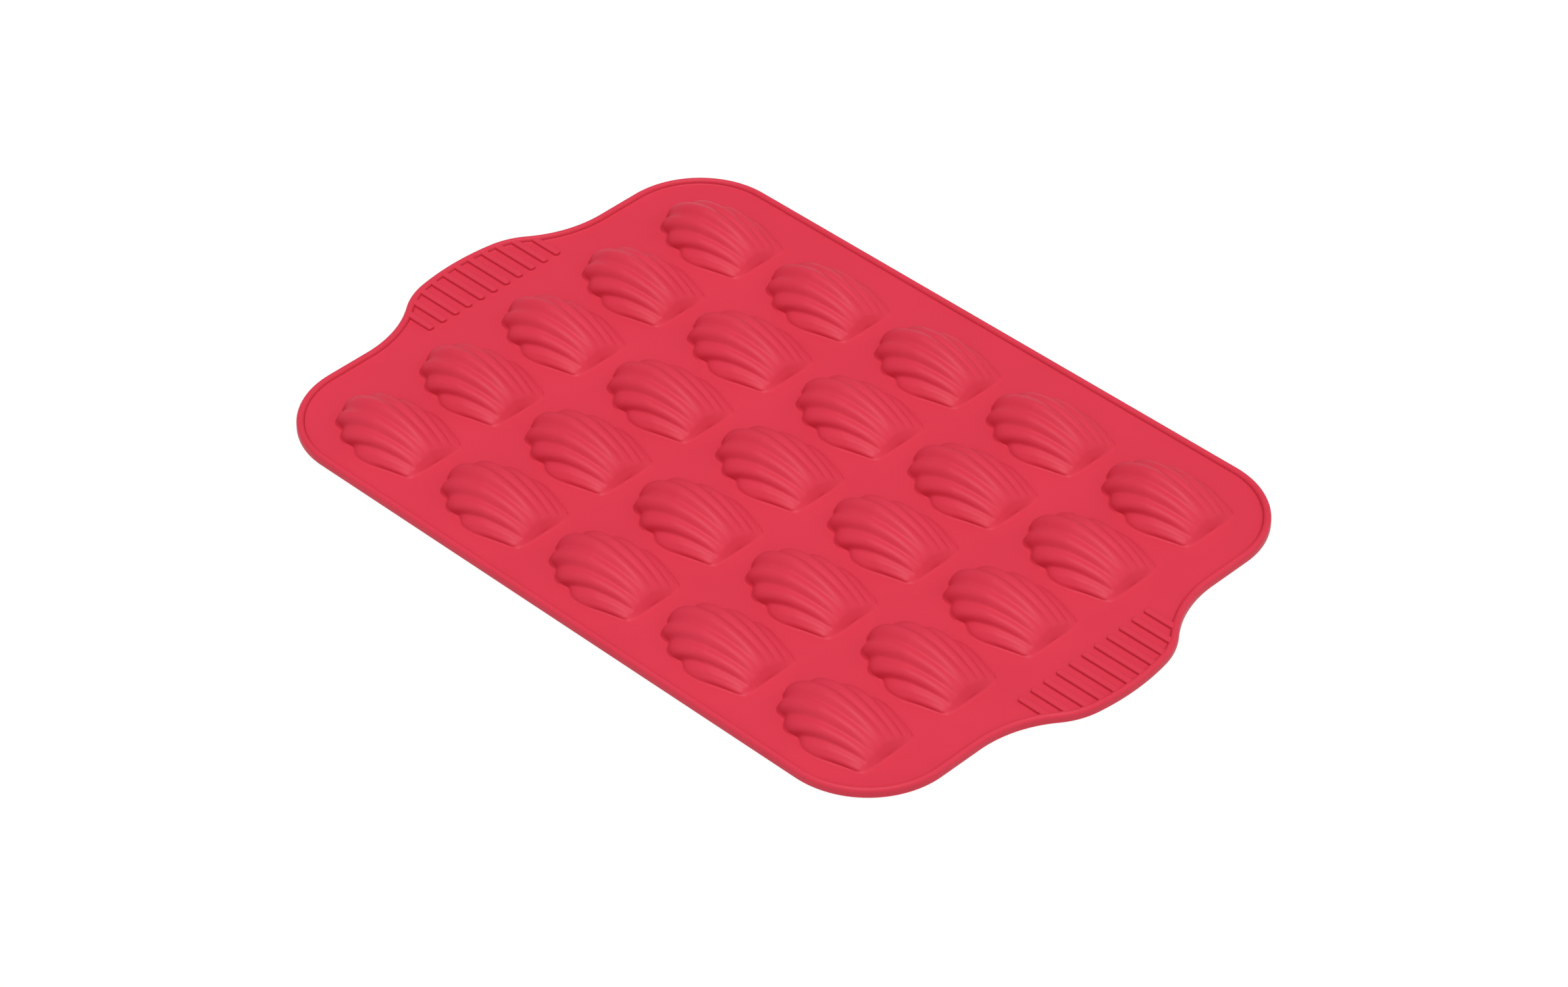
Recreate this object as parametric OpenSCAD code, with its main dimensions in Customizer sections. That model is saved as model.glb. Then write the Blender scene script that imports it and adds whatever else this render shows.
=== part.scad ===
// A flexible mould for small shell cakes, lying upside down on its flat face.
// X runs from finger tab to finger tab, Y across the body, Z up from the flat face.
// The origin is at the middle of the whole outline, on the flat face.

/* [Body] */
// Length of the body between its short edges, without the finger tabs
body_l = 297.2; // [294:0.2:320]
// Width of the body between its long edges
body_w = 218.4; // [214:0.2:240]
// Radius of the body's four corners
corner_r = 33.5; // [20:0.5:40]
// Thickness of the flat web
web_t = 1.9; // [1.2:0.1:3]

/* [Rim] */
// Width of the raised bead round the edge
bead_w = 2.8; // [2:0.1:3]
// Height of the bead above the web
bead_h = 1.5; // [1.4:0.1:3]

/* [Finger tabs] */
// How far each tab stands out past the short edge
tab_out = 16.7; // [15:0.1:18]
// Radius of the tab's long outer curve
tab_outer_r = 96.6; // [90:0.2:110]
// Radius of the tab's two shoulders
tab_shoulder_r = 29.4; // [26:0.2:32]
// Half the distance between the centres of the two shoulders
tab_shoulder_y = 11.7; // [10:0.1:14]
// Radius of the hollow curve that runs from a shoulder into the short edge
tab_hollow_r = 45.5; // [42:0.5:50]

/* [Grip ribs] */
// Distance between neighbouring grip ribs
grip_pitch = 6.24; // [5:0.02:6.4]
// How far the middle grip rib is moved along Y from the tab's middle
grip_shift = -0.5; // [-1:0.1:1]
// Radius of a grip rib's half-round section
grip_r = 1.35; // [0.8:0.05:1.4]
// How far inside the short edge the grip ribs begin
grip_inset = 6.4; // [4:0.2:8]

/* [Cups] */
// Distance between neighbouring cups along X
pitch_x = 54.08; // [53:0.01:55]
// Distance between neighbouring cups along Y
pitch_y = 39.85; // [39.5:0.05:41]
// How far the cup pattern's middle is moved along X from the body's middle
pattern_x = 0; // [-2:0.1:2]
// How far the cup pattern's middle is moved along Y from the body's middle
pattern_y = -2; // [-3:0.1:3]
// Length of a cup from its straight end to its round end
cup_l = 45.2; // [42:0.2:46]
// Half the width of a cup at its widest
cup_half_w = 16.9; // [15:0.1:17.5]
// Height of a cup above the web
cup_h = 10.6; // [7:0.1:13]
// Thickness of a cup's wall
cup_wall = 1.5; // [1:0.1:2]
// Half the width of a cup's straight end
hinge_half_w = 12.2; // [10:0.1:13]
// How far a shell rib stands out from the groove beside it
swell = 1; // [0:0.05:1.2]

/* [Hidden] */
cups_x = 5;
cups_y = 5;
grip_count = 11;
function cup_name(i, j) = str("cup_", i, "_", j);
CUPS = [for (i = [1:cups_x], j = [1:cups_y]) cup_name(i, j)];

silicone = [0.87, 0.235, 0.31];
silicone_light = [0.92, 0.3, 0.37];
$fn = 96;

// Edges of the body and of a tab, measured from the middle
body_x = body_l / 2;
body_y = body_w / 2;
bead_top_z = web_t + bead_h;
outer_x = body_x + tab_out - tab_outer_r;
shoulder_x = outer_x + sqrt(pow(tab_outer_r - tab_shoulder_r, 2) - pow(tab_shoulder_y, 2));
hollow_x = body_x + tab_hollow_r;
hollow_y = tab_shoulder_y
    + sqrt(pow(tab_hollow_r + tab_shoulder_r, 2) - pow(hollow_x - shoulder_x, 2));
// Directions at which the tab's outer curve meets a shoulder, and a shoulder its hollow
outer_angle = atan2(tab_shoulder_y, shoulder_x - outer_x);
shoulder_angle = atan2(hollow_y - tab_shoulder_y, hollow_x - shoulder_x);
// The tab's plate begins a little inside the grip ribs and ends where its hollows do
tab_root_x = body_x - grip_inset - 2.6;

// Shape of a shell cup. Its ribs fan out from the straight end, s runs across the ribs
// from -1 to 1, and t runs along them from 0 at the straight end to 1 at the round end.
rib_count = 7;
fan_u = 13.3;                    // distance of the fan's centre from the straight end
fan_angle = 86.2;                // direction of the outermost rib's end, from that centre
fan_power = 0.845;
crest_t = 0.595;                 // where along a rib the cup is highest
heel = 0.985;                    // how much of its height the cup gives up at the straight end
toe = 0.35;                      // how far the foot of the straight end stands out
end_corner_r = 2.2;              // radius of the straight end's two corners in plan
end_corner_angle = 73.2;         // angle through which such a corner turns
rib_end_t = 0.075;               // where the ribs end, short of the straight end
groove_side_u = -2;              // where the grooves begin at the sides and in the middle
groove_mid_u = 10;
groove_blend = 4;                // length over which a groove deepens
cup_middle_u = (cup_l - toe) / 2;
cup_long_r = (cup_l + toe) / 2;
half_S = [for (k = [1:2:3 * rib_count]) k / (3 * rib_count)];
S = concat([for (k = [len(half_S) - 1:-1:0]) -half_S[k]], [0], half_S);
T = [0, 0.05, 0.14, 0.36, 0.6, 0.8, 0.94, 1];

function bent(s, power) = sign(s) * pow(abs(s), power);
function tip_angle(s) = fan_angle * bent(s, fan_power);
function tip_u(s) = fan_u + (cup_l - fan_u) * cos(tip_angle(s));
function tip_v(s) = cup_half_w * sin(tip_angle(s));
// The straight end's line in plan: straight in the middle, round at its two corners
end_flat = hinge_half_w - end_corner_r * tan(end_corner_angle / 2);
function end_turn(s) = end_corner_angle
    * max(0, (abs(s) * hinge_half_w - end_flat) / (hinge_half_w - end_flat));
function end_u(s) = end_corner_r * (1 - cos(end_turn(s)));
function end_v(s) = sign(s) * (min(abs(s) * hinge_half_w, end_flat) + end_corner_r * sin(end_turn(s)));
// Height across the ribs and along them, as shares of the cup's full height. Past the
// crests of the two outermost ribs the sides stay high, and then fall steeply to the web.
function past_crest(s) = max(0, rib_count * abs(s) - rib_count + 1);
function dome_arch(s) = pow(1 - pow(abs(s), 1.27), 0.89);
function steep_side(q) = 1.2 * pow(q, 1.5) * sqrt(1 - q);
function arch(s) = dome_arch(s) + dome_arch(1 - 1 / rib_count) * steep_side(past_crest(s));
function rise(t) = t < crest_t
    ? pow(1 - heel * pow(1 - t / crest_t, 2.07), 0.59)
    : sqrt(1 - pow((t - crest_t) / (1 - crest_t), 1.41));
function plain(s, t) = [
    end_u(s) * (1 - t) + tip_u(s) * t,
    end_v(s) * (1 - t) + tip_v(s) * t,
    cup_h * arch(s) * rise(t)];
// Direction square to the plain dome
function slope(p) = [
    max(p[0] - fan_u, 0) / pow(cup_l - fan_u, 2),
    p[1] / pow(cup_half_w, 2),
    p[2] / pow(cup_h, 2)];
function outward(p) = slope(p) / max(norm(slope(p)), 1e-9);
// A rib swells out in its middle and sinks in at its edges, apart from the two outermost
// edges. The ribs bulge more at the round end, and fade towards the straight end.
function rib_place(s) = abs(s) * rib_count / 2;
function off_crest(s) = abs(rib_place(s) - round(rib_place(s)));
function off_middle(s) = off_crest(s) * (rib_place(s) > floor(rib_count / 2) ? 0.56 : 1);
function near_crest(x) = (norm([x, 0.35]) - 0.35) / (norm([1, 0.35]) - 0.35);
function crest(s) = 1 - pow(1 - near_crest(1 - 2 * off_middle(s)), 2.2);
function bulge(s) = 0.35 + 0.6 * sin(min(189 * abs(s), 180));
function groove_u(s) = groove_side_u + (groove_mid_u - groove_side_u) * (1 - pow(abs(s), 1.5));
function fade(s, t, u) = 1 / (1 + exp((groove_u(s) - u) / groove_blend))
    / (1 + exp((rib_end_t - t) / 0.014));
function swelling(s, t, u) = swell * fade(s, t, u) * (1 + 0.17 * s * s)
    * (crest(s) * (1 + bulge(s) * pow(t, 4)) - 0.5 - 0.15 * pow(t, 4));
function bumped(p, amount) = p + outward(p) * amount;
function skin(s, t) = bumped(plain(s, t), swelling(s, t, plain(s, t)[0]));
function toe_at(s) = toe * (1 - 0.7 * pow(s, 6));
function foot(s) = [
    skin(s, 0)[0] - toe_at(s) * cos(end_turn(s)),
    skin(s, 0)[1] + toe_at(s) * sin(end_turn(s)) * sign(s),
    0];

// The outer skin as rows of points, and the inner skin as the same rows drawn in by the wall
outer_rows = concat([[for (s = S) foot(s)]], [for (t = T) [for (s = S) skin(s, t)]]);
function drawn_in(p) = [
    cup_middle_u + (p[0] - cup_middle_u) * (1 - cup_wall / cup_long_r),
    p[1] * (1 - cup_wall / cup_half_w),
    p[2] * (1 - cup_wall / cup_h)];
inner_rows = [for (row = outer_rows) [for (p = row) drawn_in(p)]];
rows = len(outer_rows);
cols = len(S);
// Numbers of the points that run round a skin's lower edge
edge = concat(
    [for (c = [0:cols - 1]) c],
    [for (r = [1:rows - 1]) r * cols + cols - 1],
    [for (c = [cols - 2:-1:0]) (rows - 1) * cols + c],
    [for (r = [rows - 2:-1:1]) r * cols]);

function flat_list(rows_in) = [for (row = rows_in) for (p = row) p];
// Two triangles for each cell, cut along the diagonal that runs from the nearest corner
function cell(r, c) = let (
    a = r * cols + c,
    b = a + 1,
    d = a + cols,
    e = d + 1,
    corner_first = (r < rows / 2) == (c < (cols - 1) / 2))
    corner_first ? [[a, b, e], [a, e, d]] : [[a, b, d], [b, e, d]];
skin_faces = [for (r = [0:rows - 2], c = [0:cols - 2]) for (f = cell(r, c)) f];
function shifted(f, n) = [for (k = f) k + n];
function turned(f) = [f[2], f[1], f[0]];
points_n = rows * cols;
function ring_face(k) = let (
    a = edge[k],
    b = edge[(k + 1) % len(edge)])
    [[a, a + points_n, b + points_n], [a, b + points_n, b]];
cup_faces = concat(
    [for (f = skin_faces) turned(f)],
    [for (f = skin_faces) shifted(f, points_n)],
    [for (k = [0:len(edge) - 1]) for (f = ring_face(k)) turned(f)]);
mouth = [for (k = edge) [flat_list(inner_rows)[k][0], flat_list(inner_rows)[k][1]]];

// Places a cup: its straight end faces +X and its round end -X
module at_cup(i, j) {
    x = (i - (cups_x + 1) / 2) * pitch_x + pattern_x + cup_middle_u;
    y = (j - (cups_y + 1) / 2) * pitch_y + pattern_y;
    translate([x, y, 0]) rotate([0, 0, 180]) children();
}

module cup(i, j) {
    color(silicone)
    at_cup(i, j)
    translate([0, 0, web_t])
    polyhedron(points = concat(flat_list(outer_rows), flat_list(inner_rows)), faces = cup_faces);
}

function ray(angle) = [cos(angle), sin(angle)];
// Points along an arc, from one direction to another, both ends included
function arc(centre, radius, from, to, steps) =
    [for (k = [0:steps]) centre + radius * ray(from + (to - from) * k / steps)];
function without_first(list) = [for (k = [1:len(list) - 1]) list[k]];
function reversed(list) = [for (k = [len(list) - 1:-1:0]) list[k]];
function scaled(list, sx, sy) = [for (p = list) [p[0] * sx, p[1] * sy]];

// A quarter of the outline, drawn in by the amount given: half the tab's outer curve,
// its shoulder, its hollow and the body's corner. The bends between them are smooth.
function quarter(inset) = concat(
    arc([outer_x, 0], tab_outer_r - inset, 0, outer_angle, 2),
    without_first(arc([shoulder_x, tab_shoulder_y], tab_shoulder_r - inset,
        outer_angle, shoulder_angle, 4)),
    without_first(arc([hollow_x, hollow_y], tab_hollow_r + inset, 180 + shoulder_angle, 180, 5)),
    arc([body_x - corner_r, body_y - corner_r], corner_r - inset, 0, 90, 12));
function outline(inset) = let (q = quarter(inset)) concat(
    q,
    reversed(scaled(q, -1, 1)),
    without_first(scaled(q, -1, -1)),
    reversed(without_first(scaled(q, 1, -1))));

// The strip across a short end that belongs to the tab's plate
module tab_strip(side) {
    translate([side * (tab_root_x + body_x + tab_out) / 2, 0])
    square([body_x + tab_out - tab_root_x, 2 * hollow_y], center = true);
}

module sheet() {
    color(silicone)
    linear_extrude(web_t) difference() {
        polygon(outline(bead_w));
        tab_strip(-1);
        tab_strip(1);
        for (i = [1:cups_x], j = [1:cups_y]) at_cup(i, j) polygon(mouth);
    }
}

module tab(side) {
    color(silicone)
    linear_extrude(web_t) intersection() {
        polygon(outline(bead_w));
        tab_strip(side);
    }
}
module tab_left() { tab(-1); }
module tab_right() { tab(1); }

// Half-round grip ribs with a round inner end, cut off at the bead's inner wall
module grip_ribs(side) {
    start_x = body_x - grip_inset + grip_r;
    color(silicone_light)
    intersection() {
        translate([0, 0, web_t]) linear_extrude(bead_h) polygon(outline(bead_w));
        for (k = [0:grip_count - 1])
            translate([side * start_x, (k - (grip_count - 1) / 2) * grip_pitch + grip_shift, web_t]) {
                sphere(grip_r);
                rotate([0, side * 90, 0]) cylinder(r = grip_r, h = tab_out + grip_inset);
            }
    }
}
module grip_ribs_left() { grip_ribs(-1); }
module grip_ribs_right() { grip_ribs(1); }

// The bead's section, as distances in from the outline and heights: two upright walls
// under a half-round top. The section is carried round the outline in one closed ring.
bead_r = bead_w / 2;
bead_section = concat(
    [[0, 0]],
    [for (a = [0:36:180]) [bead_r - bead_r * cos(a), bead_top_z - bead_r + bead_r * sin(a)]],
    [[bead_w, 0]]);
bead_loops = [for (p = bead_section) [for (q = outline(p[0])) [q[0], q[1], p[1]]]];
module rim() {
    loops = len(bead_loops);
    n = len(bead_loops[0]);
    color(silicone_light)
    polyhedron(
        points = flat_list(bead_loops),
        faces = [for (m = [0:loops - 1], k = [0:n - 1]) let (
            a = m * n + k,
            b = m * n + (k + 1) % n,
            c = ((m + 1) % loops) * n + (k + 1) % n,
            d = ((m + 1) % loops) * n + k)
            each [[a, c, b], [a, d, c]]]);
}

sheet();
rim();
tab_left();
tab_right();
grip_ribs_left();
grip_ribs_right();
for (i = [1:cups_x], j = [1:cups_y])
    cup(i, j);
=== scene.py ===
"""Models a flexible mould of 25 small shell cups, lying upside down on its flat face."""

import math

import bpy
import numpy as np
from mathutils import Matrix, Vector


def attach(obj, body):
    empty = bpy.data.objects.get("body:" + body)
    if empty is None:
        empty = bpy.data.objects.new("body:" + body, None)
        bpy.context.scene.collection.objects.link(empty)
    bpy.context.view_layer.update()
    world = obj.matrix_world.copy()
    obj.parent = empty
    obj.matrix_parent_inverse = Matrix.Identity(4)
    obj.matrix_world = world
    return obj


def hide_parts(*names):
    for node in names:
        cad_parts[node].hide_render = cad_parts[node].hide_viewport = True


bl_info = {
    "name": "Shell cup mould",
    "version": (1, 0, 0),
    "blender": (4, 5, 0),
    "location": "3D View > Sidebar > Mould",
    "description": "Models a silicone mould with 25 shell cups, finger tabs and a beaded rim",
    "category": "Object",
}

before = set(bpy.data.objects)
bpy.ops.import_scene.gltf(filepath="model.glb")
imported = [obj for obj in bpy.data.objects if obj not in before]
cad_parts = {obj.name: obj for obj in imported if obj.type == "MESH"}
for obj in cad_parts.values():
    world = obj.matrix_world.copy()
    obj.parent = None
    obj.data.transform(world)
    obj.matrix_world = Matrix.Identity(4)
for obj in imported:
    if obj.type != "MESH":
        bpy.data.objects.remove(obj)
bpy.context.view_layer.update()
MM = 0.001
CUPS_X = 5
CUPS_Y = 5
GRIP_COUNT = 11

# Points closer than this are one point, steps smaller than this count as none, and edges
# that turn further than this stay sharp.
MERGE = 1e-7
TINY = 1e-9
CREASE = math.radians(35)


# Sizes and colours that a user would change


class MouldSizes(bpy.types.PropertyGroup):
    body_length: bpy.props.FloatProperty(
        name="Body length",
        description="Length of the body between its short edges, without the finger tabs",
        default=0.2972, unit="LENGTH")
    body_width: bpy.props.FloatProperty(
        name="Body width",
        description="Width of the body between its long edges",
        default=0.2184, unit="LENGTH")
    corner_radius: bpy.props.FloatProperty(
        name="Corner radius",
        description="Radius of the body's four corners",
        default=0.0335, unit="LENGTH")
    web: bpy.props.FloatProperty(
        name="Web",
        description="Thickness of the flat web",
        default=0.0019, unit="LENGTH")


class RimSizes(bpy.types.PropertyGroup):
    width: bpy.props.FloatProperty(
        name="Bead width",
        description="Width of the raised bead round the edge",
        default=0.0028, unit="LENGTH")
    height: bpy.props.FloatProperty(
        name="Bead height",
        description="Height of the bead above the web",
        default=0.0015, unit="LENGTH")
    foot_radius: bpy.props.FloatProperty(
        name="Foot radius",
        description="Radius of the hollow where the bead meets the web",
        default=0.0006, unit="LENGTH")


class TabSizes(bpy.types.PropertyGroup):
    out: bpy.props.FloatProperty(
        name="Tab reach",
        description="How far each tab stands out past the short edge",
        default=0.0167, unit="LENGTH")
    outer_radius: bpy.props.FloatProperty(
        name="Outer radius",
        description="Radius of the tab's long outer curve",
        default=0.0966, unit="LENGTH")
    shoulder_radius: bpy.props.FloatProperty(
        name="Shoulder radius",
        description="Radius of the tab's two shoulders",
        default=0.0294, unit="LENGTH")
    shoulder_y: bpy.props.FloatProperty(
        name="Shoulder half distance",
        description="Half the distance between the centres of the two shoulders",
        default=0.0117, unit="LENGTH")
    hollow_radius: bpy.props.FloatProperty(
        name="Hollow radius",
        description="Radius of the hollow curve from a shoulder into the short edge",
        default=0.0455, unit="LENGTH")


class GripSizes(bpy.types.PropertyGroup):
    pitch: bpy.props.FloatProperty(
        name="Grip pitch",
        description="Distance between neighbouring grip ribs",
        default=0.00624, unit="LENGTH")
    half_width: bpy.props.FloatProperty(
        name="Grip half width",
        description="Half the width of a grip rib",
        default=0.00135, unit="LENGTH")
    height: bpy.props.FloatProperty(
        name="Grip height",
        description="Height of a grip rib above the web",
        default=0.00125, unit="LENGTH")
    shift: bpy.props.FloatProperty(
        name="Grip shift",
        description="How far the middle grip rib is moved along Y",
        default=-0.0005, unit="LENGTH")
    inset: bpy.props.FloatProperty(
        name="Grip inset",
        description="How far inside the short edge the grip ribs begin",
        default=0.0064, unit="LENGTH")


class CupSizes(bpy.types.PropertyGroup):
    pitch_x: bpy.props.FloatProperty(
        name="Pitch X",
        description="Distance between neighbouring cups along X",
        default=0.05408, unit="LENGTH")
    pitch_y: bpy.props.FloatProperty(
        name="Pitch Y",
        description="Distance between neighbouring cups along Y",
        default=0.03985, unit="LENGTH")
    pattern_x: bpy.props.FloatProperty(
        name="Pattern X",
        description="How far the cup pattern's middle is moved along X",
        default=0, unit="LENGTH")
    pattern_y: bpy.props.FloatProperty(
        name="Pattern Y",
        description="How far the cup pattern's middle is moved along Y",
        default=-0.002, unit="LENGTH")
    length: bpy.props.FloatProperty(
        name="Cup length",
        description="Length of a cup from its straight end to its round end",
        default=0.0452, unit="LENGTH")
    half_width: bpy.props.FloatProperty(
        name="Cup half width",
        description="Half the width of a cup at its widest",
        default=0.0169, unit="LENGTH")
    height: bpy.props.FloatProperty(
        name="Cup height",
        description="Height of a cup above the web",
        default=0.01058, unit="LENGTH")
    wall: bpy.props.FloatProperty(
        name="Cup wall",
        description="Thickness of a cup's wall",
        default=0.0015, unit="LENGTH")
    straight_half_width: bpy.props.FloatProperty(
        name="Straight end half width",
        description="Half the width of a cup's straight end",
        default=0.0122, unit="LENGTH")
    swell: bpy.props.FloatProperty(
        name="Rib swell",
        description="How far a shell rib stands out from the groove beside it",
        default=0.001, unit="LENGTH")
    foot_radius: bpy.props.FloatProperty(
        name="Foot radius",
        description="Radius of the hollow where a cup's wall meets the web",
        default=0.0005, unit="LENGTH")
    lip_radius: bpy.props.FloatProperty(
        name="Lip radius",
        description="Radius of the rounded edge round a cup's mouth, on the flat face",
        default=0.0006, unit="LENGTH")


class SiliconeLook(bpy.types.PropertyGroup):
    colour: bpy.props.FloatVectorProperty(
        name="Silicone colour",
        description="Colour of the moulded silicone",
        default=(0.60, 0.0335, 0.063), subtype="COLOR", size=3, min=0, max=1)
    deep_colour: bpy.props.FloatVectorProperty(
        name="Deeper colour",
        description="Colour of the faint darker clouds in the silicone",
        default=(0.579, 0.0312, 0.0586), subtype="COLOR", size=3, min=0, max=1)
    roughness: bpy.props.FloatProperty(
        name="Roughness",
        description="Roughness of the satin surface",
        default=0.48, min=0, max=1, subtype="FACTOR")
    grain: bpy.props.FloatProperty(
        name="Grain",
        description="Depth of the surface's fine moulded grain",
        default=0.00001, unit="LENGTH", precision=6)


class StudioLook(bpy.types.PropertyGroup):
    floor_colour: bpy.props.FloatVectorProperty(
        name="Floor colour",
        description="Colour of the floor",
        default=(0.9, 0.9, 0.9), subtype="COLOR", size=3, min=0, max=1)
    floor_glow: bpy.props.FloatProperty(
        name="Floor whiteness",
        description="Share of plain white in the floor as the camera sees it",
        default=0.9, min=0, max=1, subtype="FACTOR")
    sky: bpy.props.FloatProperty(
        name="Room light",
        description="Strength of the even light from all round",
        default=0.22, min=0)
    overhead: bpy.props.FloatProperty(
        name="Overhead light",
        description="Strength of the soft light straight above",
        default=2.35, min=0)
    side: bpy.props.FloatProperty(
        name="Side light",
        description="Strength of the wide soft lights round the mould",
        default=0.4, min=0)


# Helpers for modelling by hand in code


def start_clean():
    """Leaves edit mode and deselects everything, the frame's nodes too."""
    if bpy.context.mode != "OBJECT":
        bpy.ops.object.mode_set(mode="OBJECT")
    bpy.ops.object.select_all(action="DESELECT")


def grid_piece(name, places):
    """Adds a grid and moves its points to their places, given as rows of points."""
    places = np.asarray(places, float)
    rows, cols = places.shape[:2]
    start_clean()
    bpy.ops.mesh.primitive_grid_add(x_subdivisions=cols - 1, y_subdivisions=rows - 1, size=2)
    piece = bpy.context.object
    piece.name = piece.data.name = name
    flat = np.empty(rows * cols * 3)
    piece.data.vertices.foreach_get("co", flat)
    flat = flat.reshape(-1, 3)
    col = np.rint((flat[:, 0] + 1) / 2 * (cols - 1)).astype(int)
    row = np.rint((flat[:, 1] + 1) / 2 * (rows - 1)).astype(int)
    piece.data.vertices.foreach_set("co", places[row, col].ravel())
    piece.data.update()
    return piece


def loop_piece(name, places):
    """Adds a ring of edges and moves its points to their places."""
    start_clean()
    bpy.ops.mesh.primitive_circle_add(vertices=len(places), radius=1)
    piece = bpy.context.object
    piece.name = piece.data.name = name
    piece.data.vertices.foreach_set("co", np.asarray(places, float).ravel())
    piece.data.update()
    return piece


def edit_all(parts):
    """Joins parts into one and opens it in edit mode with all its points selected."""
    start_clean()
    for part in parts:
        part.select_set(True)
    bpy.context.view_layer.objects.active = parts[0]
    if len(parts) > 1:
        bpy.ops.object.join()
    bpy.ops.object.mode_set(mode="EDIT")
    bpy.ops.mesh.select_mode(type="VERT")
    bpy.ops.mesh.select_all(action="SELECT")
    return bpy.context.object


def closed_tube(tube):
    """Merges a tube's seam and closes its two open ends with flat faces."""
    piece = edit_all([tube])
    bpy.ops.mesh.remove_doubles(threshold=MERGE)
    bpy.ops.mesh.select_all(action="SELECT")
    bpy.ops.mesh.fill_holes(sides=0)
    bpy.ops.object.mode_set(mode="OBJECT")
    return piece


def one_piece(name, parts):
    """Joins parts, merges the points they share and turns all faces outwards."""
    piece = edit_all(parts)
    bpy.ops.mesh.remove_doubles(threshold=MERGE)
    bpy.ops.mesh.normals_make_consistent(inside=False)
    bpy.ops.object.mode_set(mode="OBJECT")
    bpy.ops.object.shade_smooth_by_angle(angle=CREASE)
    piece.name = piece.data.name = name
    return piece


def plate_piece(name, loops, thickness):
    """Fills the space between flat loops of edges and draws it down to a plate."""
    plate = edit_all([loop_piece(f"{name}_loop", loop) for loop in loops])
    bpy.ops.mesh.fill(use_beauty=True)
    bpy.ops.mesh.select_all(action="SELECT")
    bpy.ops.mesh.extrude_region_move(TRANSFORM_OT_translate={"value": (0, 0, -thickness)})
    bpy.ops.object.mode_set(mode="OBJECT")
    return one_piece(name, [plate])


def dressed(piece, *nodes):
    """Gives a piece its silicone and puts it in the place of its nodes."""
    piece.data.materials.clear()
    piece.data.materials.append(moulded_silicone())
    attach(piece, "root")
    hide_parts(*nodes)


def quarter_turn(steps):
    """Angles from 0 to a quarter turn, both included."""
    return np.radians(np.linspace(0, 90, steps + 1))


# The outline of the mould


# Steps round the tab's outer curve, its shoulder, its hollow and the body's corner.
OUTLINE_STEPS = (12, 22, 22, 28)


def arc(x, y, radius, start, end, steps):
    """Points along an arc round a centre, both ends included."""
    turn = np.linspace(start, end, steps + 1)
    return np.stack([x + radius * np.cos(turn), y + radius * np.sin(turn)], 1)


def outline_facts(scene):
    """Centres and directions of the arcs that make a quarter of the outline."""
    body, tab = scene.mould_sizes, scene.mould_tab
    body_x, body_y = body.body_length / 2, body.body_width / 2
    outer_x = body_x + tab.out - tab.outer_radius
    reach = tab.outer_radius - tab.shoulder_radius
    shoulder_x = outer_x + math.sqrt(reach**2 - tab.shoulder_y**2)
    hollow_x = body_x + tab.hollow_radius
    span = tab.hollow_radius + tab.shoulder_radius
    hollow_y = tab.shoulder_y + math.sqrt(span**2 - (hollow_x - shoulder_x) ** 2)
    outer_turn = math.atan2(tab.shoulder_y, shoulder_x - outer_x)
    shoulder_turn = math.atan2(hollow_y - tab.shoulder_y, hollow_x - shoulder_x)
    return body_x, body_y, outer_x, shoulder_x, hollow_x, hollow_y, outer_turn, shoulder_turn


def outline(scene, inset):
    """The outline drawn in by the amount given, as one closed run of points."""
    corner, tab = scene.mould_sizes.corner_radius, scene.mould_tab
    facts = outline_facts(scene)
    body_x, body_y, outer_x, shoulder_x, hollow_x, hollow_y, outer_turn, shoulder_turn = facts
    outer_r, shoulder_r, hollow_r = tab.outer_radius, tab.shoulder_radius, tab.hollow_radius
    back = math.pi + shoulder_turn
    a, b, c, d = OUTLINE_STEPS
    quarter = np.concatenate([
        arc(outer_x, 0, outer_r - inset, 0, outer_turn, a),
        arc(shoulder_x, tab.shoulder_y, shoulder_r - inset, outer_turn, shoulder_turn, b)[1:],
        arc(hollow_x, hollow_y, hollow_r + inset, back, math.pi, c)[1:],
        arc(body_x - corner, body_y - corner, corner - inset, 0, math.pi / 2, d),
    ])
    return np.concatenate([
        quarter,
        (quarter * (-1, 1))[::-1],
        (quarter * (-1, -1))[1:],
        (quarter * (1, -1))[1:][::-1],
    ])


# The shell cup. Its ribs fan out from the straight end: s runs across the ribs from -1
# to 1, and t runs along them from 0 at the straight end to 1 at the round end.
RIBS = 7

# The ribs' tips lie on half an ellipse round this place on the cup's length, and fan out
# this far to each side.
FAN_START = 13.3 * MM
FAN_TURN = math.radians(86.2)
FAN_POWER = 0.845

# The dome: its highest place, its rise from the straight end, its fall to the round end,
# its curve across the ribs and how high its sides stay.
CREST_T = 0.595
HEEL = 0.985
BACK_BEND, BACK_POWER = 2.07, 0.59
FRONT_BEND = 1.41
ARCH_BEND, ARCH_POWER = 1.27, 0.89
SIDE_RISE, SIDE_POWER = 0.5, 1.5

# The straight end: the slope of its foot and how that narrows at the corners, the rounded
# corners and the top of the flat face.
TOE = 0.35 * MM
TOE_NARROWING, TOE_POWER = 0.7, 6
CORNER = 2.2 * MM
CORNER_TURN = math.radians(73.2)
END_FACE_T = 0.05

# The ribs: the shape of their crests, and the share of a groove that the two outermost
# flanks have.
CREST_ROUND = 0.35
CREST_POWER = 2.2
OUTER_GAP = 0.56

# Where the grooves fade in along the cup's length, at the sides and in the middle, and how
# softly. Then the same for the ribs above the flat face.
GROOVE_SIDE = -2 * MM
GROOVE_MIDDLE = 10 * MM
GROOVE_BEND = 1.5
GROOVE_BLEND = 4 * MM
RIB_END_T = 0.06
RIB_END_BLEND = 0.01

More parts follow.
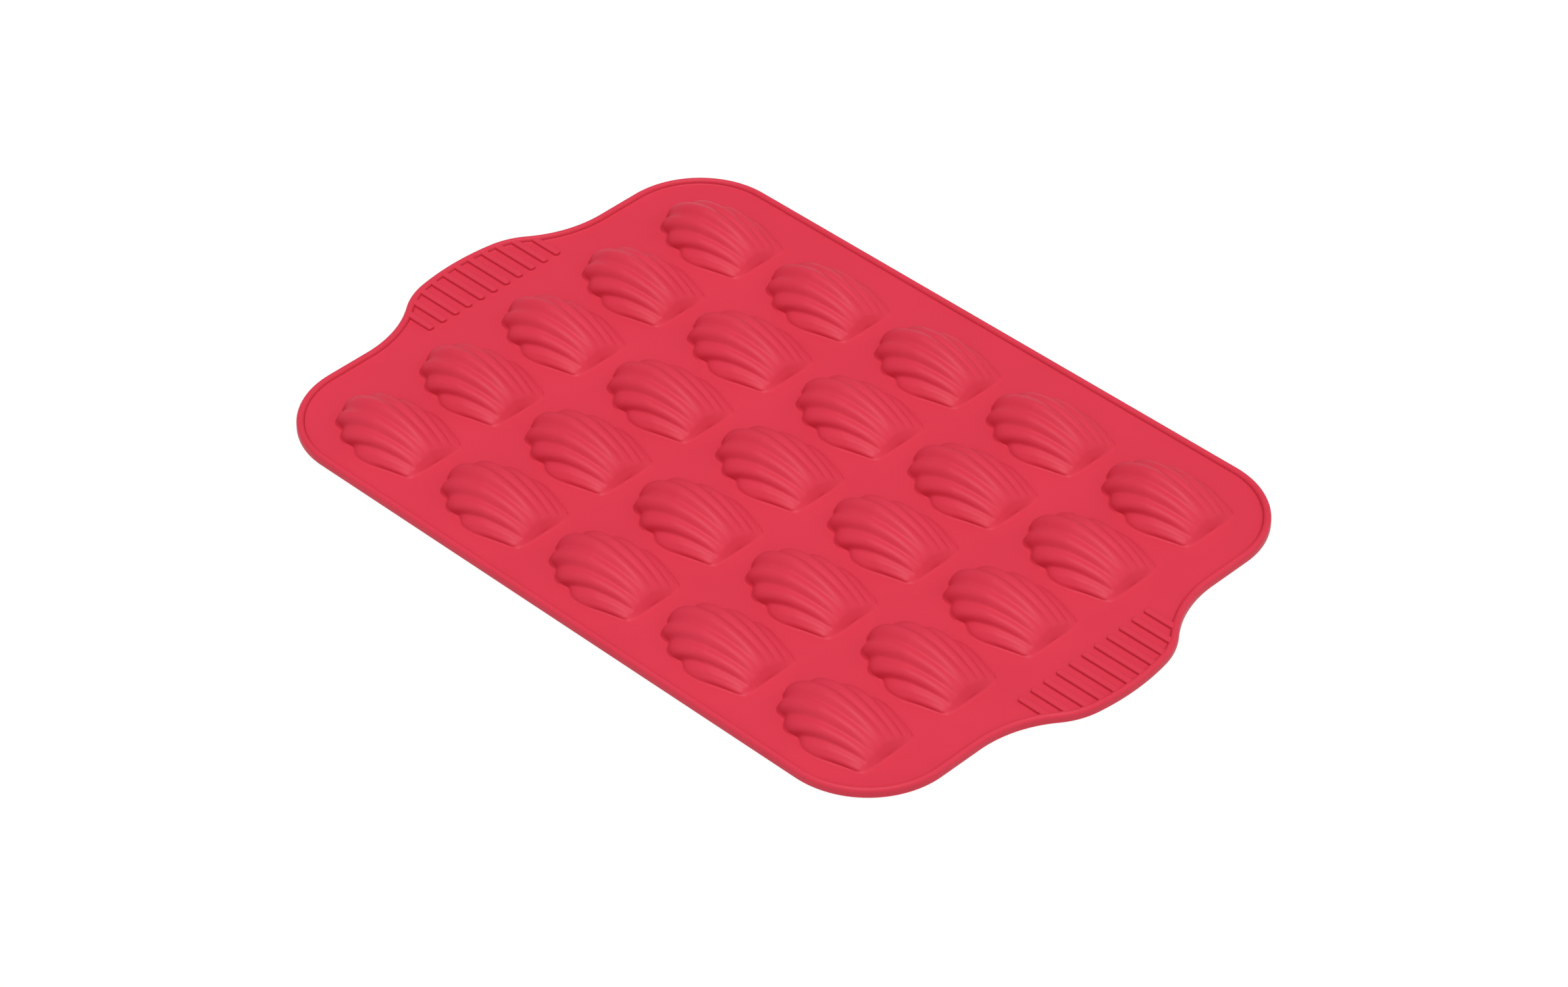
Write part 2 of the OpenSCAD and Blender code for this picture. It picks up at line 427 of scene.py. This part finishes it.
# How much further the crests stand out and the grooves sink in towards the round end and
# at the sides, as shares of the rib swell.
END_POWER = 4
BULGE, SIDE_BULGE, SIDE_BULGE_TURN = 0.35, 0.42, 3.3
GROOVE_DEPTH, END_GROOVE_DEPTH = 0.5, 0.15
SIDE_SWELL = 0.17

# Where the skin's points lie: steps for half a rib, two more points in the last step at
# each side, rows up to the highest place, steps from there on, and rows of the foot.
HALF_RIB_STEPS = 7
SIDE_POINTS = (0.6, 0.25)
BACK_ROWS = (
    0, 0.018, 0.036, 0.046, 0.054, 0.064, 0.076, 0.092, 0.115,
    0.15, 0.19, 0.24, 0.29, 0.345, 0.4, 0.46, 0.525,
)
FRONT_STEPS = 18
FOOT_ROWS = (0.0, 0.45)

# How the foot's spread turns from one edge of the skin to the next: passes of smoothing,
# and how strongly the nearest edge rules.
SMOOTHINGS = 12
EDGE_OFFSET, EDGE_POWER = 0.3, 3

# The width of the strip of web round a cup that is moulded with the cup.
CUP_STRIP = 0.3 * MM


def straight_end(size, s):
    """The straight end's line in plan, with its two rounded corners, and how far it has turned."""
    flat = size.straight_half_width - CORNER * math.tan(CORNER_TURN / 2)
    start = flat / size.straight_half_width
    turn = CORNER_TURN * np.clip((np.abs(s) - start) / (1 - start), 0, 1)
    back = CORNER * (1 - np.cos(turn))
    side = np.minimum(np.abs(s) * size.straight_half_width, flat) + CORNER * np.sin(turn)
    return back, np.sign(s) * side, turn


def dome_arch(s):
    """Height across the ribs, as a share of the cup's height."""
    return np.maximum(1 - np.abs(s) ** ARCH_BEND, 0) ** ARCH_POWER


def steep_side(s):
    """Keeps the sides high past the two outermost crests, so that they fall steeply."""
    past = np.maximum(RIBS * np.abs(s) - RIBS + 1, 0)
    return SIDE_RISE * past**SIDE_POWER * np.sqrt(np.maximum(1 - past, 0))


def dome_back(t):
    """Height from the straight end to the highest crest, as a share of the cup's height."""
    return np.maximum(1 - HEEL * np.abs(1 - t / CREST_T) ** BACK_BEND, 0) ** BACK_POWER


def plain_shell(size, s, t):
    """The shell's dome without its ribs. The straight end is a flat, steep face."""
    turn = FAN_TURN * np.sign(s) * np.abs(s) ** FAN_POWER
    tip_u = FAN_START + (size.length - FAN_START) * np.cos(turn)
    tip_v = size.half_width * np.sin(turn)
    across = dome_arch(s) + dome_arch(1 - 1 / RIBS) * steep_side(s)
    face = dome_back(0) + (dome_back(END_FACE_T) - dome_back(0)) * t / END_FACE_T
    back = np.where(t < END_FACE_T, face, dome_back(t))
    past_crest = np.abs((t - CREST_T) / (1 - CREST_T))
    front = np.sqrt(np.maximum(1 - past_crest**FRONT_BEND, 0))
    along = np.where(t < CREST_T, back, front)
    start_u, start_v, _ = straight_end(size, s)
    return np.stack([
        start_u * (1 - t) + t * tip_u,
        start_v * (1 - t) + t * tip_v,
        size.height * across * along,
    ], -1)


def ribbed_shell(size, s, t):
    """The shell with its ribs swelling out and its grooves sinking in."""
    dome = plain_shell(size, s, t)
    outward = np.stack([
        np.maximum(dome[..., 0] - FAN_START, 0) / (size.length - FAN_START) ** 2,
        dome[..., 1] / size.half_width**2,
        dome[..., 2] / size.height**2,
    ], -1)
    outward /= np.maximum(np.linalg.norm(outward, axis=-1, keepdims=True), TINY)
    place = np.abs(s) * RIBS / 2
    gap = np.abs(place - np.rint(place))
    gap = np.where(place > RIBS // 2, gap * OUTER_GAP, gap)
    near = np.hypot(1 - 2 * gap, CREST_ROUND) - CREST_ROUND
    near = near / (math.hypot(1, CREST_ROUND) - CREST_ROUND)
    crest = 1 - (1 - near) ** CREST_POWER
    groove_u = GROOVE_SIDE + (GROOVE_MIDDLE - GROOVE_SIDE) * (1 - np.abs(s) ** GROOVE_BEND)
    fade = 1 / (1 + np.exp((groove_u - dome[..., 0]) / GROOVE_BLEND))
    fade = fade / (1 + np.exp((RIB_END_T - t) / RIB_END_BLEND))
    sideways = np.sin(np.clip(np.abs(s) * SIDE_BULGE_TURN, 0, math.pi))
    bulge = 1 + (BULGE + SIDE_BULGE * sideways) * t**END_POWER
    sink = GROOVE_DEPTH + END_GROOVE_DEPTH * t**END_POWER
    amount = size.swell * fade * (crest * bulge - sink) * (1 + SIDE_SWELL * s * s)
    return dome + outward * amount[..., None]


def shell_rows(size):
    """The shell's outer skin as rows of points, from the straight end to the round end."""
    half = np.linspace(0, 1, RIBS * HALF_RIB_STEPS + 1)
    last = 1 - half[-2]
    half = np.concatenate([half[:-1], [1 - share * last for share in SIDE_POINTS], [1]])
    across = np.concatenate([-half[:0:-1], half])
    fall = quarter_turn(FRONT_STEPS)[::-1]
    front = CREST_T + (1 - CREST_T) * (1 - np.sin(fall) ** 2) ** (1 / FRONT_BEND)
    along = np.concatenate([BACK_ROWS, front])
    s, t = np.meshgrid(across, along)
    skin = ribbed_shell(size, s, t)
    first = skin[0]
    turn = straight_end(size, across)[2]
    toe = TOE * (1 - TOE_NARROWING * across**TOE_POWER)
    foot = []
    for share in FOOT_ROWS:
        row = first.copy()
        row[:, 0] -= toe * np.cos(turn) * (1 - share)
        row[:, 1] += toe * np.sin(turn) * np.sign(across) * (1 - share)
        row[:, 2] *= share
        foot.append(row)
    return np.concatenate([np.stack(foot), skin])


def rim_of(rows):
    """The run of points round the edge of rows of points, closed by its first point."""
    return np.concatenate([rows[0], rows[1:, -1], rows[-1, -2::-1], rows[-2::-1, 0]])


def outward_run(run):
    """Directions square to a closed run of points in plan, pointing outwards."""
    flat = run[:-1, :2]
    smooth = flat.copy()
    for _ in range(SMOOTHINGS):
        smooth = (np.roll(smooth, 1, 0) + 2 * smooth + np.roll(smooth, -1, 0)) / 4
    ahead = np.roll(smooth, -1, 0) - np.roll(smooth, 1, 0)
    out = np.stack([ahead[:, 1], -ahead[:, 0]], 1)
    out /= np.maximum(np.linalg.norm(out, axis=1, keepdims=True), TINY)
    middle = flat.mean(0)
    if ((flat - middle) * out).sum() < 0:
        out = -out
    return np.concatenate([out, out[:1]])


def set_round_foot(rows, size):
    """Spreads the lowest part of the skin outwards, so that it meets the web in a hollow."""
    count_r, count_c = rows.shape[:2]
    out = outward_run(rim_of(rows))
    heel_out = out[:count_c]
    right_out = out[count_c - 1:count_c - 1 + count_r]
    toe_out = out[count_c - 1 + count_r - 1:][:count_c][::-1]
    left_out = out[2 * count_c + count_r - 3:][:count_r][::-1]
    r, c = np.meshgrid(np.arange(count_r), np.arange(count_c), indexing="ij")
    gaps = (r, count_c - 1 - c, count_r - 1 - r, c)
    weights = [1 / (gap + EDGE_OFFSET) ** EDGE_POWER for gap in gaps]
    away = (
        weights[0][..., None] * heel_out[None, :, :]
        + weights[1][..., None] * right_out[:, None, :]
        + weights[2][..., None] * toe_out[None, :, :]
        + weights[3][..., None] * left_out[:, None, :]
    )
    away /= np.maximum(np.linalg.norm(away, axis=-1, keepdims=True), TINY)
    radius = size.foot_radius
    low = np.clip(1 - rows[..., 2] / radius, 0, 1)
    spread = radius * (1 - np.sqrt(np.maximum(1 - low**2, 0)))
    out_rows = rows.copy()
    out_rows[..., :2] += away * spread[..., None]
    return out_rows, out


def shell_cup_parts(scene):
    """Rows of points for one cup: outer skin, inner skin and the ring that joins them.
    The web's upper face is at height 0."""
    size, web = scene.mould_cup, scene.mould_sizes.web
    rows = shell_rows(size)
    outer, out = set_round_foot(rows, size)
    middle_u, long_r = (size.length - TOE) / 2, (size.length + TOE) / 2
    inner = rows.copy()
    inner[..., 0] = middle_u + (rows[..., 0] - middle_u) * (1 - size.wall / long_r)
    inner[..., 1] = rows[..., 1] * (1 - size.wall / size.half_width)
    inner[..., 2] = rows[..., 2] * (1 - size.wall / size.height)
    outer_edge, inner_edge = rim_of(outer), rim_of(inner)
    outer_edge[:, 2] = 0
    inner_edge[:, 2] = 0

    def moved(edge, by, height):
        ring = edge.copy()
        ring[:, :2] += out * by
        ring[:, 2] = height
        return ring

    lip = size.lip_radius
    rings = [outer_edge, moved(outer_edge, CUP_STRIP, 0), moved(outer_edge, CUP_STRIP, -web)]
    for turn in quarter_turn(4)[::-1]:
        up = lip * (1 - math.sin(turn))
        rings.append(moved(inner_edge, lip * (1 - math.cos(turn)), -web + up))
    rings.append(inner_edge)
    return outer, inner, np.stack(rings)


def cup_middle(scene, i, j):
    """Where a cup's straight end's middle lies."""
    size = scene.mould_cup
    middle_u = (size.length - TOE) / 2
    x = (i - (CUPS_X + 1) / 2) * size.pitch_x + size.pattern_x + middle_u
    y = (j - (CUPS_Y + 1) / 2) * size.pitch_y + size.pattern_y
    return np.array([x, y, scene.mould_sizes.web])


# Finishes


SILICONE_IOR = 1.41
SILICONE_GLOSS = 0.22
GLOSS_SPREAD = 0.05
CLOUD_FROM, CLOUD_TO = 0.3, 0.6
GRAIN_STRENGTH = 0.25


def noise(tree, where, scale, detail):
    """Adds a noise pattern that stays with the piece."""
    pattern = tree.nodes.new("ShaderNodeTexNoise")
    pattern.inputs["Scale"].default_value = scale
    pattern.inputs["Detail"].default_value = detail
    tree.links.new(where.outputs["Object"], pattern.inputs["Vector"])
    return pattern


def moulded_silicone():
    """Satin moulded silicone: faint colour clouds, uneven gloss and a fine grain."""
    found = bpy.data.materials.get("moulded_silicone")
    if found:
        return found
    look = bpy.context.scene.silicone_look
    material = bpy.data.materials.new("moulded_silicone")
    material.use_nodes = True
    tree = material.node_tree
    tree.nodes.clear()
    out = tree.nodes.new("ShaderNodeOutputMaterial")
    skin = tree.nodes.new("ShaderNodeBsdfPrincipled")
    skin.inputs["IOR"].default_value = SILICONE_IOR
    skin.inputs["Specular IOR Level"].default_value = SILICONE_GLOSS
    tree.links.new(skin.outputs["BSDF"], out.inputs["Surface"])
    where = tree.nodes.new("ShaderNodeTexCoord")

    clouds = noise(tree, where, scale=28, detail=4)
    tint = tree.nodes.new("ShaderNodeValToRGB")
    tint.color_ramp.elements[0].position = CLOUD_FROM
    tint.color_ramp.elements[0].color = (*look.deep_colour, 1)
    tint.color_ramp.elements[1].position = CLOUD_TO
    tint.color_ramp.elements[1].color = (*look.colour, 1)
    tree.links.new(clouds.outputs["Fac"], tint.inputs["Fac"])
    tree.links.new(tint.outputs["Color"], skin.inputs["Base Color"])

    smears = noise(tree, where, scale=90, detail=3)
    gloss = tree.nodes.new("ShaderNodeMapRange")
    gloss.inputs["To Min"].default_value = look.roughness - GLOSS_SPREAD
    gloss.inputs["To Max"].default_value = look.roughness + GLOSS_SPREAD
    tree.links.new(smears.outputs["Fac"], gloss.inputs["Value"])
    tree.links.new(gloss.outputs["Result"], skin.inputs["Roughness"])

    grain = noise(tree, where, scale=1600, detail=2)
    relief = tree.nodes.new("ShaderNodeBump")
    relief.inputs["Strength"].default_value = GRAIN_STRENGTH
    relief.inputs["Distance"].default_value = look.grain
    tree.links.new(grain.outputs["Fac"], relief.inputs["Height"])
    tree.links.new(relief.outputs["Normal"], skin.inputs["Normal"])
    return material


def white_floor():
    """A white floor that shows the camera plain white, with the mould's faint shadow."""
    look = bpy.context.scene.studio_look
    material = bpy.data.materials.new("white_floor")
    material.use_nodes = True
    tree = material.node_tree
    tree.nodes.clear()
    out = tree.nodes.new("ShaderNodeOutputMaterial")
    paint = tree.nodes.new("ShaderNodeBsdfDiffuse")
    paint.inputs["Color"].default_value = (*look.floor_colour, 1)
    glow = tree.nodes.new("ShaderNodeEmission")
    glow.inputs["Color"].default_value = (1, 1, 1, 1)
    glow.inputs["Strength"].default_value = 1
    rays = tree.nodes.new("ShaderNodeLightPath")
    seen = tree.nodes.new("ShaderNodeMath")
    seen.operation = "MAXIMUM"
    tree.links.new(rays.outputs["Is Camera Ray"], seen.inputs[0])
    tree.links.new(rays.outputs["Is Glossy Ray"], seen.inputs[1])
    share = tree.nodes.new("ShaderNodeMath")
    share.operation = "MULTIPLY"
    share.inputs[1].default_value = look.floor_glow
    tree.links.new(seen.outputs["Value"], share.inputs[0])
    mix = tree.nodes.new("ShaderNodeMixShader")
    tree.links.new(share.outputs["Value"], mix.inputs["Fac"])
    tree.links.new(paint.outputs["BSDF"], mix.inputs[1])
    tree.links.new(glow.outputs["Emission"], mix.inputs[2])
    tree.links.new(mix.outputs["Shader"], out.inputs["Surface"])
    return material


# Operators, one for each group of like pieces and one for the stage


class MOULD_OT_cups(bpy.types.Operator):
    """Model one shell cup with its ribs and walls, and copy it into all 25 places"""

    bl_idname = "mould.cups"
    bl_label = "Shell cups"

    def execute(self, context):
        scene = context.scene
        outer, inner, rings = shell_cup_parts(scene)
        first = one_piece("shell_cup", [
            grid_piece("shell_outer", outer),
            grid_piece("shell_inner", inner),
            grid_piece("shell_ring", rings),
        ])
        for i in range(1, CUPS_X + 1):
            for j in range(1, CUPS_Y + 1):
                start_clean()
                first.select_set(True)
                context.view_layer.objects.active = first
                bpy.ops.object.duplicate()
                cup = context.object
                cup.name = cup.data.name = f"shell_cup_{i}_{j}"
                place = Matrix.Translation(Vector(cup_middle(scene, i, j)))
                cup.data.transform(place @ Matrix.Rotation(math.pi, 4, "Z"))
                dressed(cup, f"cup_{i}_{j}")
        bpy.data.objects.remove(first)
        return {"FINISHED"}


class MOULD_OT_sheet(bpy.types.Operator):
    """Model the flat web between the cups, with a hole for each cup"""

    bl_idname = "mould.sheet"
    bl_label = "Web"

    def execute(self, context):
        scene = context.scene
        web = scene.mould_sizes.web
        edge = web_edge(scene)
        root_x = tab_root(scene)
        half_y = outline_facts(scene)[5]
        inside = [p for p in edge if not (abs(p[0]) > root_x and abs(p[1]) < half_y + HAIR)]
        loop = []
        for k, p in enumerate(inside):
            loop.append((p[0], p[1], web))
            q = inside[(k + 1) % len(inside)]
            if np.sign(p[1]) != np.sign(q[1]) and abs(p[0]) > root_x:
                side = math.copysign(1, p[0])
                for y in (p[1], q[1]):
                    at = math.copysign(half_y, y)
                    loop.append((edge_x_at(edge, at, side), at, web))
                    loop.append((side * root_x, at, web))
                # The way back out passes the root first.
                loop[-2:] = loop[:-3:-1]
        # Each hole follows the outer edge of the strip round a cup.
        ring = shell_cup_parts(scene)[2][1][:-1]
        holes = [
            cup_middle(scene, i, j) + ring * (-1, -1, 1)
            for i in range(1, CUPS_X + 1)
            for j in range(1, CUPS_Y + 1)
        ]
        dressed(plate_piece("web", [loop, *holes], web), "sheet")
        return {"FINISHED"}


# How far a tab's plate reaches in past the start of its grip ribs, and how close a point
# of the edge may come to the plate's corner before it is left out.
TAB_ROOT = 2.6 * MM
HAIR = 0.01 * MM

# The radii of the bead's lower outer edge, and of a grip rib's foot, shoulder and corners.
BEAD_EDGE = 0.35 * MM
GRIP_FOOT = 0.3 * MM
GRIP_SHOULDER = 0.45 * MM
GRIP_CORNER = 0.95 * MM

# How far the grip ribs' outer ends lie inside the outline, as a share of the bead's width.
GRIP_END = 0.6


def web_edge(scene):
    """The web's own edge, where the bead's foot ends."""
    rim = scene.mould_rim
    return outline(scene, rim.width + rim.foot_radius)


def tab_root(scene):
    """Where a tab's plate begins, a little inside its grip ribs."""
    return scene.mould_sizes.body_length / 2 - scene.mould_grip.inset - TAB_ROOT


def edge_x_at(edge, y, side):
    """Where a run of points crosses a height y on one side."""
    ahead = np.roll(edge, -1, 0)
    for p, q in zip(edge, ahead):
        if p[0] * side > 0 and (p[1] - y) * (q[1] - y) <= 0 and p[1] != q[1]:
            return p[0] + (q[0] - p[0]) * (y - p[1]) / (q[1] - p[1])
    raise ValueError("the tab's strip misses the edge")


class MOULD_OT_tabs(bpy.types.Operator):
    """Model the plates of the two finger tabs"""

    bl_idname = "mould.tabs"
    bl_label = "Finger tabs"

    def execute(self, context):
        scene = context.scene
        web = scene.mould_sizes.web
        edge = web_edge(scene)
        root_x = tab_root(scene)
        half_y = outline_facts(scene)[5]
        for side, name in ((-1, "left"), (1, "right")):
            inside = [p for p in edge if p[0] * side > root_x and abs(p[1]) < half_y - HAIR]
            inside.sort(key=lambda p: p[1])
            loop = [(side * root_x, -half_y, web), (edge_x_at(edge, -half_y, side), -half_y, web)]
            loop += [(p[0], p[1], web) for p in inside]
            loop += [(edge_x_at(edge, half_y, side), half_y, web), (side * root_x, half_y, web)]
            dressed(plate_piece(f"finger_tab_{name}", [loop], web), f"tab_{name}")
        return {"FINISHED"}


class MOULD_OT_rim(bpy.types.Operator):
    """Model the rounded bead that runs round the whole edge"""

    bl_idname = "mould.rim"
    bl_label = "Beaded rim"

    def execute(self, context):
        scene = context.scene
        rim, web = scene.mould_rim, scene.mould_sizes.web
        half = rim.width / 2
        middle = web + rim.height - half
        foot = rim.foot_radius
        section = []
        for turn in quarter_turn(3):
            section.append((BEAD_EDGE * (1 - math.sin(turn)), BEAD_EDGE * (1 - math.cos(turn))))
        for turn in np.linspace(0, math.pi, 17):
            section.append((half - half * math.cos(turn), middle + half * math.sin(turn)))
        for turn in quarter_turn(4)[1:]:
            inset = rim.width + foot * (1 - math.cos(turn))
            section.append((inset, web + foot * (1 - math.sin(turn))))
        section.append((rim.width + foot, 0))
        section.append((BEAD_EDGE, 0))
        loops = []
        for inset, height in section:
            run = outline(scene, inset)
            run = np.concatenate([run, run[:1]])
            loops.append(np.column_stack([run, np.full(len(run), height)]))
        dressed(one_piece("beaded_rim", [grid_piece("beaded_rim", np.stack(loops))]), "rim")
        return {"FINISHED"}


class MOULD_OT_grips(bpy.types.Operator):
    """Model the rows of grip ribs on the two finger tabs"""

    bl_idname = "mould.grips"
    bl_label = "Grip ribs"

    def execute(self, context):
        scene = context.scene
        grip, web, rim = scene.mould_grip, scene.mould_sizes.web, scene.mould_rim
        end_run = outline(scene, rim.width * GRIP_END)
        start_x = scene.mould_sizes.body_length / 2 - grip.inset
        for side, name in ((-1, "left"), (1, "right")):
            bars = []
            for k in range(GRIP_COUNT):
                y = (k - (GRIP_COUNT - 1) / 2) * grip.pitch + grip.shift
                end_x = edge_x_at(end_run, y, side) * side
                bars.append(grip_bar(f"grip_bar_{k}", side, start_x, end_x, y, grip, web))
            dressed(one_piece(f"grip_bars_{name}", bars), f"grip_ribs_{name}")
        return {"FINISHED"}


def grip_bar(name, side, start_x, end_x, y, grip, web):
    """One grip rib: a low bar with rounded edges and a rounded inner end."""
    levels = []
    for turn in quarter_turn(3):
        levels.append((GRIP_FOOT * (1 - math.sin(turn)), GRIP_FOOT * (1 - math.cos(turn))))
    for turn in quarter_turn(4):
        down = GRIP_SHOULDER * (1 - math.sin(turn))
        levels.append((-GRIP_SHOULDER * (1 - math.cos(turn)), grip.height - down))
    rings = []
    for out, height in levels:
        w = grip.half_width + out
        r = min(GRIP_CORNER + out, w)
        first = start_x - out
        run = [(end_x, -w)]
        for turn in np.linspace(0, math.pi / 2, 6):
            run.append((first + r - r * math.sin(turn), -(w - r) - r * math.cos(turn)))
        for turn in np.linspace(math.pi / 2, math.pi, 6):
            run.append((first + r - r * math.sin(turn), (w - r) - r * math.cos(turn)))
        run.append((end_x, w))
        run.append((end_x, -w))
        rings.append([(side * px, y + py, web + height) for px, py in run])
    return closed_tube(grid_piece(name, rings))


CAMERA_PLACE = (1.025925, -1.0391, 1.1855)
CAMERA_RIGHT = (0.7136, 0.7005, -0.0019)
CAMERA_AHEAD = (-0.5428, 0.5512, -0.6337)
CAMERA_LENS = 124.69
CAMERA_SENSOR = 36
FLOOR_SIZE = 8
FLOOR_HEIGHT = -0.0001

# The lights' widths in degrees. Each side light has a height and a side in degrees, and
# its share of the side lights' strength.
OVERHEAD_WIDTH, SIDE_WIDTH = 25, 40
SIDE_LIGHTS = (
    ("light_front_high", 60, 300, 0.4),
    ("light_front", 30, 300, 0.95),
    ("light_right", 30, 0, 1),
    ("light_right_far", 30, 60, 1),
    ("light_left", 30, 240, 0.7),
)


class MOULD_OT_stage(bpy.types.Operator):
    """Set the white floor, the soft light and the camera"""

    bl_idname = "mould.stage"
    bl_label = "Stage"

    def execute(self, context):
        scene = context.scene
        look = scene.studio_look
        start_clean()
        bpy.ops.mesh.primitive_plane_add(size=FLOOR_SIZE, location=(0, 0, FLOOR_HEIGHT))
        floor = context.object
        floor.name = "floor"
        floor.data.materials.append(white_floor())

        world = bpy.data.worlds.new("room")
        scene.world = world
        world.use_nodes = True
        tree = world.node_tree
        tree.nodes.clear()
        out = tree.nodes.new("ShaderNodeOutputWorld")
        light = tree.nodes.new("ShaderNodeBackground")
        light.inputs["Strength"].default_value = look.sky
        seen = tree.nodes.new("ShaderNodeBackground")
        seen.inputs["Strength"].default_value = 1
        rays = tree.nodes.new("ShaderNodeLightPath")
        mix = tree.nodes.new("ShaderNodeMixShader")
        tree.links.new(rays.outputs["Is Camera Ray"], mix.inputs["Fac"])
        tree.links.new(light.outputs["Background"], mix.inputs[1])
        tree.links.new(seen.outputs["Background"], mix.inputs[2])
        tree.links.new(mix.outputs["Shader"], out.inputs["Surface"])
        for background in (light, seen):
            background.inputs["Color"].default_value = (1, 1, 1, 1)

        add_lamp("light_overhead", 90, 0, OVERHEAD_WIDTH, look.overhead)
        for name, height, side, share in SIDE_LIGHTS:
            add_lamp(name, height, side, SIDE_WIDTH, look.side * share)

        bpy.ops.object.camera_add(location=CAMERA_PLACE)
        camera = context.object
        right = Vector(CAMERA_RIGHT)
        ahead = Vector(CAMERA_AHEAD).normalized()
        up = right.cross(ahead).normalized()
        right = ahead.cross(up)
        turn = Matrix((right, up, -ahead)).transposed().to_4x4()
        camera.matrix_world = Matrix.Translation(camera.location) @ turn
        camera.data.lens = CAMERA_LENS
        camera.data.sensor_width = CAMERA_SENSOR
        camera.data.clip_start = 0.01
        scene.camera = camera
        scene.view_settings.view_transform = "Standard"
        return {"FINISHED"}


def add_lamp(name, height, side, width, strength):
    """A soft light of a width, from a height above the floor and a side, all in degrees."""
    bpy.ops.object.light_add(type="SUN", location=(0, 0, 1))
    lamp = bpy.context.object
    lamp.name = name
    lamp.data.energy = strength
    lamp.data.angle = math.radians(width)
    lamp.rotation_euler = (0, math.radians(90 - height), math.radians(side))


class MOULD_PT_panel(bpy.types.Panel):
    """Buttons and sizes for the mould's pieces"""

    bl_idname = "MOULD_PT_panel"
    bl_label = "Shell cup mould"
    bl_space_type = "VIEW_3D"
    bl_region_type = "UI"
    bl_category = "Mould"

    def draw(self, context):
        layout = self.layout
        for group in GROUPS:
            settings = getattr(context.scene, group)
            box = layout.box()
            for key in settings.bl_rna.properties.keys():
                if key not in ("rna_type", "name"):
                    box.prop(settings, key)
        for operator in OPERATORS:
            layout.operator(operator.bl_idname)


OPERATORS = (
    MOULD_OT_cups,
    MOULD_OT_sheet,
    MOULD_OT_tabs,
    MOULD_OT_rim,
    MOULD_OT_grips,
    MOULD_OT_stage,
)
GROUPS = {
    "mould_sizes": MouldSizes,
    "mould_rim": RimSizes,
    "mould_tab": TabSizes,
    "mould_grip": GripSizes,
    "mould_cup": CupSizes,
    "silicone_look": SiliconeLook,
    "studio_look": StudioLook,
}


def register():
    for name, group in GROUPS.items():
        bpy.utils.register_class(group)
        setattr(bpy.types.Scene, name, bpy.props.PointerProperty(type=group))
    for operator in OPERATORS:
        bpy.utils.register_class(operator)
    bpy.utils.register_class(MOULD_PT_panel)


def unregister():
    bpy.utils.unregister_class(MOULD_PT_panel)
    for operator in reversed(OPERATORS):
        bpy.utils.unregister_class(operator)
    for name, group in reversed(GROUPS.items()):
        delattr(bpy.types.Scene, name)
        bpy.utils.unregister_class(group)


def main():
    register()
    bpy.ops.mould.cups()
    bpy.ops.mould.sheet()
    bpy.ops.mould.tabs()
    bpy.ops.mould.rim()
    bpy.ops.mould.grips()
    bpy.ops.mould.stage()


if __name__ == "__main__":
    main()
